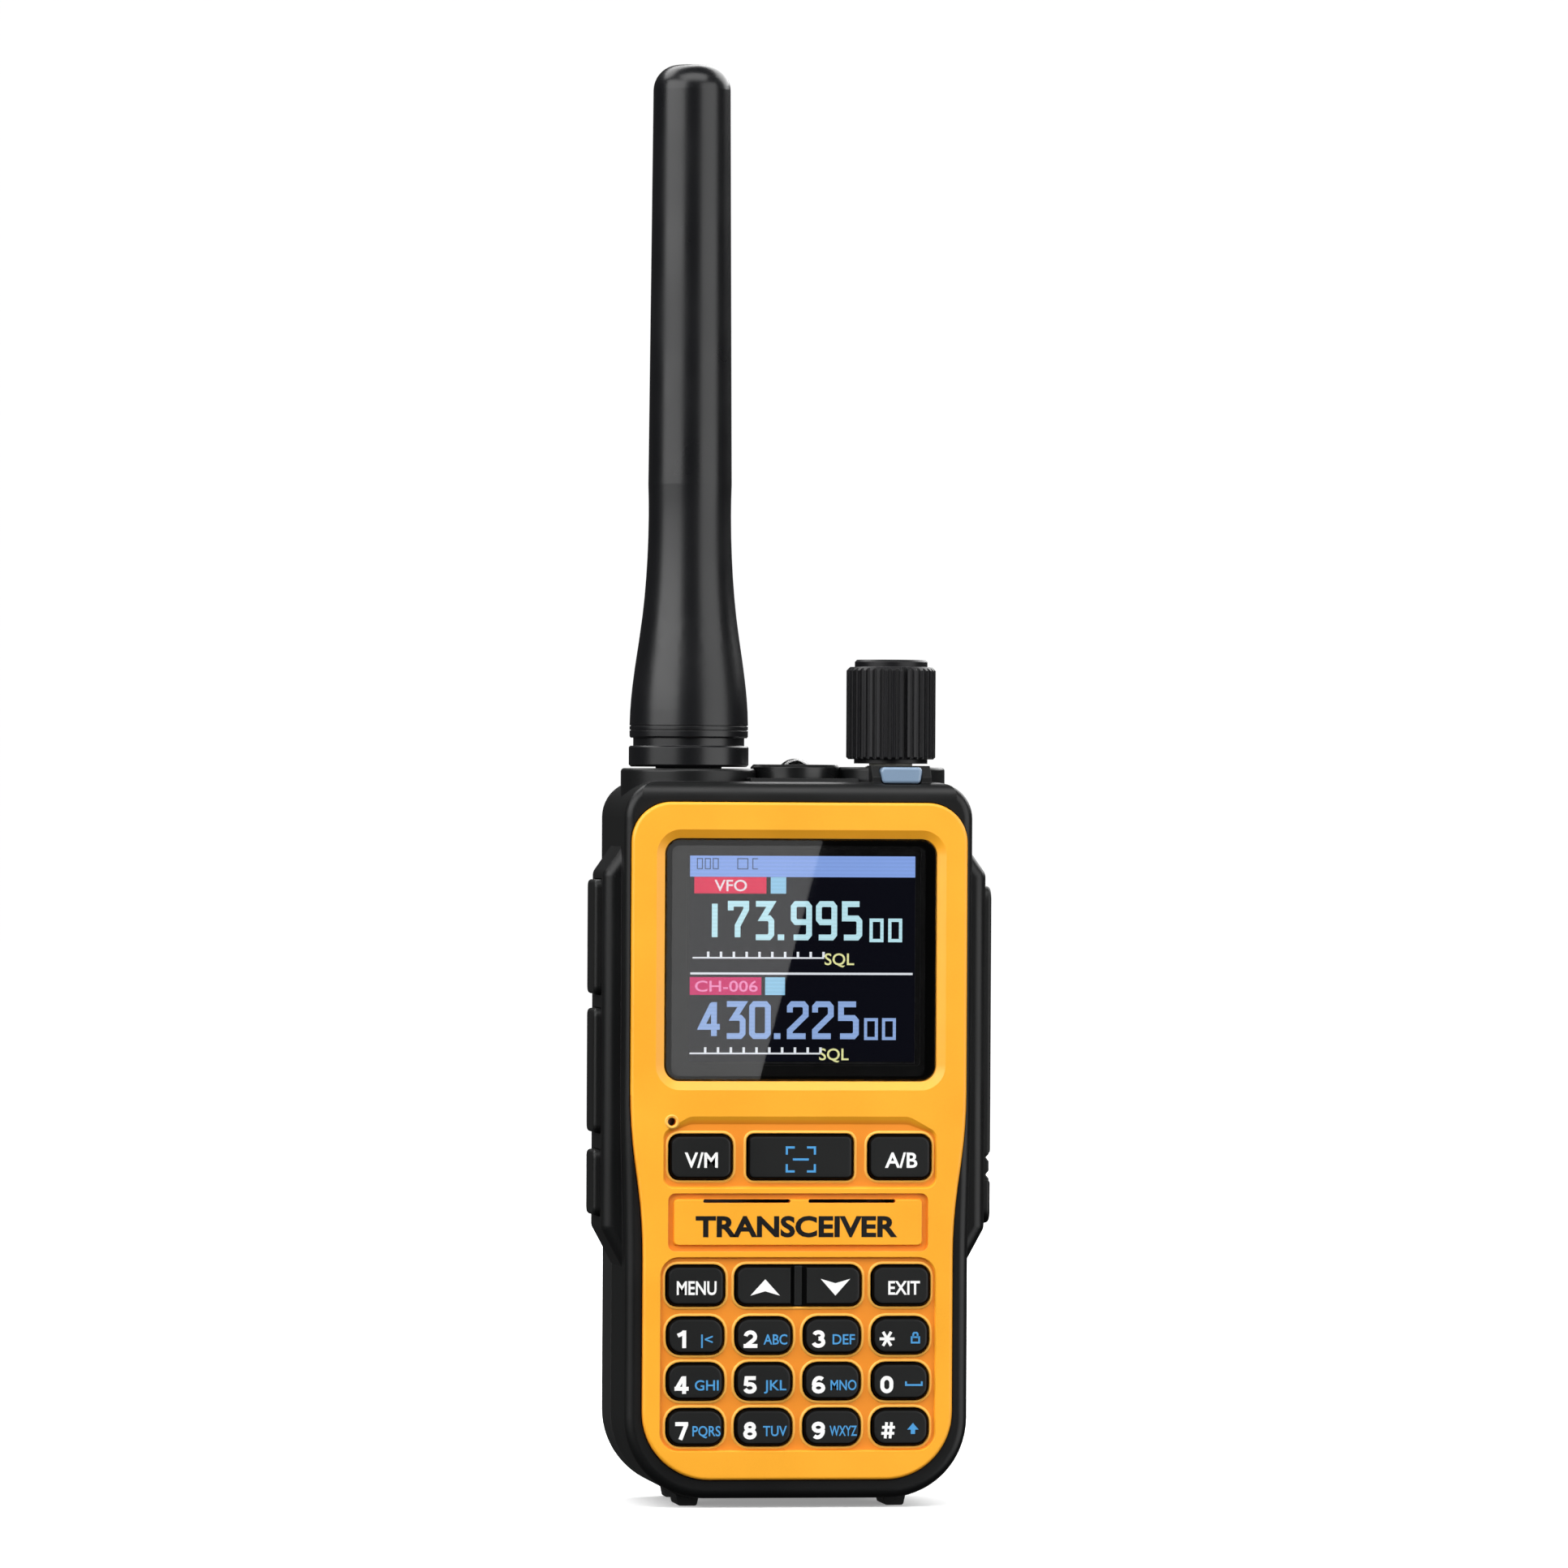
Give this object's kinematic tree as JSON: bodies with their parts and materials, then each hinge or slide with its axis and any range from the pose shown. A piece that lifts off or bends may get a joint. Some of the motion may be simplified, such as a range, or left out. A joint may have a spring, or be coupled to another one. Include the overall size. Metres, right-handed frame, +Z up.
{
  "type": "handheld aviation radio",
  "caption": "Handheld two-way radio with amber front panel, colour screen, keypad, side keys, volume knob, whip antenna, swing-out battery and belt clip.",
  "frame": {"origin": "middle of the bounding box, at the height of the feet", "axes": "+Z up along the antenna, front face towards -Y, side keys on -X, accessory socket on +X"},
  "size_m": [0.0554, 0.0364, 0.1991],
  "materials": {
    "shell_plastic": "fine-grained satin black",
    "panel_plastic": "smooth satin amber yellow",
    "window_clear": "polished clear acrylic",
    "display_frame": "black frame round a lit screen",
    "key_plastic": "satin dark grey, printed legends",
    "silicone": "translucent grey silicone",
    "dome_metal": "bright snap domes",
    "circuit_board": "green laminate",
    "speaker_metal": "black basket",
    "capsule": "plain can",
    "shield_metal": "tinned sheet",
    "plate_metal": "die-cast, matt",
    "steel": "dark plated",
    "gold_contact": "gold plated",
    "jack_plastic": "black moulding",
    "cover_rubber": "soft matt black",
    "side_key_rubber": "soft matt black",
    "nut_metal": "plated",
    "antenna_rubber": "satin black",
    "knob_plastic": "soft-touch black",
    "shaft_plastic": "plain",
    "bezel_plastic": "glossy black",
    "torch_clear": "smoky clear",
    "led_white": "white",
    "status_clear": "frosted light pipe",
    "battery_plastic": "fine-grained satin black",
    "cell_wrap": "blue shrink wrap over cells",
    "clip_plastic": "satin black"
  },
  "bodies": {
    "chassis": {"front_housing": "shell_plastic", "front_panel": "panel_plastic", "display_window": "window_clear", "display_module": "display_frame", "keypad_mat": "silicone", "dome_switches": "dome_metal", "main_board": "circuit_board", "speaker": "speaker_metal", "microphone": "capsule", "rf_shield": "shield_metal", "back_plate": "plate_metal", "housing_screws": "steel", "battery_terminals": "gold_contact", "side_key_board": "circuit_board", "headset_jacks": "jack_plastic", "jack_cover_anchor": "cover_rubber", "jack_cover_hinge": "cover_rubber", "sma_connector": "nut_metal", "panel_nuts": "nut_metal", "volume_encoder": "shaft_plastic", "torch_bezel": "bezel_plastic", "torch_lens": "torch_clear", "torch_led": "led_white", "status_lens": "status_clear"},
    "antenna": {"antenna_sheath": "antenna_rubber", "antenna_connector": "nut_metal"},
    "volume": {"volume_knob": "knob_plastic", "volume_shaft": "shaft_plastic"},
    "ptt": {"ptt_button": "side_key_rubber"},
    "side_middle": {"side_key_middle": "side_key_rubber"},
    "side_lower": {"side_key_lower": "side_key_rubber"},
    "socket_cover": {"jack_cover": "cover_rubber"},
    "battery": {"battery_case": "battery_plastic", "battery_cover": "battery_plastic", "battery_cell": "cell_wrap", "battery_contacts": "gold_contact", "clip_bracket": "clip_plastic", "clip_screws": "steel", "clip_pin": "steel", "clip_spring": "steel"},
    "latch": {"battery_latch": "battery_plastic"},
    "belt_clip": {"clip_lever": "clip_plastic"},
    "rocker": {"key_up_down": "key_plastic"},
    "press_vm": {"key_vm": "key_plastic"},
    "press_scan": {"key_scan": "key_plastic"},
    "press_ab": {"key_ab": "key_plastic"},
    "press_menu": {"key_menu": "key_plastic"},
    "press_exit": {"key_exit": "key_plastic"},
    "press_1": {"key_1": "key_plastic"},
    "press_2": {"key_2": "key_plastic"},
    "press_3": {"key_3": "key_plastic"},
    "press_star": {"key_star": "key_plastic"},
    "press_4": {"key_4": "key_plastic"},
    "press_5": {"key_5": "key_plastic"},
    "press_6": {"key_6": "key_plastic"},
    "press_0": {"key_0": "key_plastic"},
    "press_7": {"key_7": "key_plastic"},
    "press_8": {"key_8": "key_plastic"},
    "press_9": {"key_9": "key_plastic"},
    "press_hash": {"key_hash": "key_plastic"}
  },
  "joints": [
    {"name": "antenna_lift", "type": "slide", "parent": "chassis", "child": "antenna", "axis": [0, 0, 1], "range_m": [0, 0.012]},
    {"name": "volume_turn", "type": "hinge", "parent": "chassis", "child": "volume", "pos_m": [0.0144, -0.00495, 0.1031], "axis": [0, 0, -1], "range_deg": [0, 280]},
    {"name": "ptt_press", "type": "slide", "parent": "chassis", "child": "ptt", "axis": [1, 0, 0], "range_m": [0, 0.0008], "stiffness_N_per_m": 300},
    {"name": "side_middle_press", "type": "slide", "parent": "chassis", "child": "side_middle", "axis": [1, 0, 0], "range_m": [0, 0.0008], "stiffness_N_per_m": 300},
    {"name": "side_lower_press", "type": "slide", "parent": "chassis", "child": "side_lower", "axis": [1, 0, 0], "range_m": [0, 0.0008], "stiffness_N_per_m": 300},
    {"name": "socket_cover_swing", "type": "hinge", "parent": "chassis", "child": "socket_cover", "pos_m": [0.0267, -0.00695, 0.047], "axis": [0, 1, 0], "range_deg": [0, 110], "stiffness_Nm_per_rad": 0.002},
    {"name": "key_vm_press", "type": "slide", "parent": "chassis", "child": "press_vm", "axis": [0, 1, 0], "range_m": [0, 0.0004], "stiffness_N_per_m": 100},
    {"name": "key_scan_press", "type": "slide", "parent": "chassis", "child": "press_scan", "axis": [0, 1, 0], "range_m": [0, 0.0004], "stiffness_N_per_m": 100},
    {"name": "key_ab_press", "type": "slide", "parent": "chassis", "child": "press_ab", "axis": [0, 1, 0], "range_m": [0, 0.0004], "stiffness_N_per_m": 100},
    {"name": "key_menu_press", "type": "slide", "parent": "chassis", "child": "press_menu", "axis": [0, 1, 0], "range_m": [0, 0.0004], "stiffness_N_per_m": 100},
    {"name": "key_exit_press", "type": "slide", "parent": "chassis", "child": "press_exit", "axis": [0, 1, 0], "range_m": [0, 0.0004], "stiffness_N_per_m": 100},
    {"name": "key_1_press", "type": "slide", "parent": "chassis", "child": "press_1", "axis": [0, 1, 0], "range_m": [0, 0.0004], "stiffness_N_per_m": 100},
    {"name": "key_2_press", "type": "slide", "parent": "chassis", "child": "press_2", "axis": [0, 1, 0], "range_m": [0, 0.0004], "stiffness_N_per_m": 100},
    {"name": "key_3_press", "type": "slide", "parent": "chassis", "child": "press_3", "axis": [0, 1, 0], "range_m": [0, 0.0004], "stiffness_N_per_m": 100},
    {"name": "key_star_press", "type": "slide", "parent": "chassis", "child": "press_star", "axis": [0, 1, 0], "range_m": [0, 0.0004], "stiffness_N_per_m": 100},
    {"name": "key_4_press", "type": "slide", "parent": "chassis", "child": "press_4", "axis": [0, 1, 0], "range_m": [0, 0.0004], "stiffness_N_per_m": 100},
    {"name": "key_5_press", "type": "slide", "parent": "chassis", "child": "press_5", "axis": [0, 1, 0], "range_m": [0, 0.0004], "stiffness_N_per_m": 100},
    {"name": "key_6_press", "type": "slide", "parent": "chassis", "child": "press_6", "axis": [0, 1, 0], "range_m": [0, 0.0004], "stiffness_N_per_m": 100},
    {"name": "key_0_press", "type": "slide", "parent": "chassis", "child": "press_0", "axis": [0, 1, 0], "range_m": [0, 0.0004], "stiffness_N_per_m": 100},
    {"name": "key_7_press", "type": "slide", "parent": "chassis", "child": "press_7", "axis": [0, 1, 0], "range_m": [0, 0.0004], "stiffness_N_per_m": 100},
    {"name": "key_8_press", "type": "slide", "parent": "chassis", "child": "press_8", "axis": [0, 1, 0], "range_m": [0, 0.0004], "stiffness_N_per_m": 100},
    {"name": "key_9_press", "type": "slide", "parent": "chassis", "child": "press_9", "axis": [0, 1, 0], "range_m": [0, 0.0004], "stiffness_N_per_m": 100},
    {"name": "key_hash_press", "type": "slide", "parent": "chassis", "child": "press_hash", "axis": [0, 1, 0], "range_m": [0, 0.0004], "stiffness_N_per_m": 100},
    {"name": "up_down_rock", "type": "hinge", "parent": "chassis", "child": "rocker", "pos_m": [0, -0.0161, 0.03063], "axis": [0, 0, 1], "range_deg": [-2.5, 2.5], "stiffness_Nm_per_rad": 0.01},
    {"name": "battery_swing", "type": "hinge", "parent": "chassis", "child": "battery", "pos_m": [0, 0.00955, 0.0835], "axis": [1, 0, 0], "range_deg": [0, 25]},
    {"name": "latch_slide", "type": "slide", "parent": "battery", "child": "latch", "axis": [0, 0, 1], "range_m": [0, 0.002], "stiffness_N_per_m": 200},
    {"name": "clip_open", "type": "hinge", "parent": "battery", "child": "belt_clip", "pos_m": [0, 0.01465, 0.077], "axis": [1, 0, 0], "range_deg": [0, 25], "stiffness_Nm_per_rad": 0.05}
  ]
}
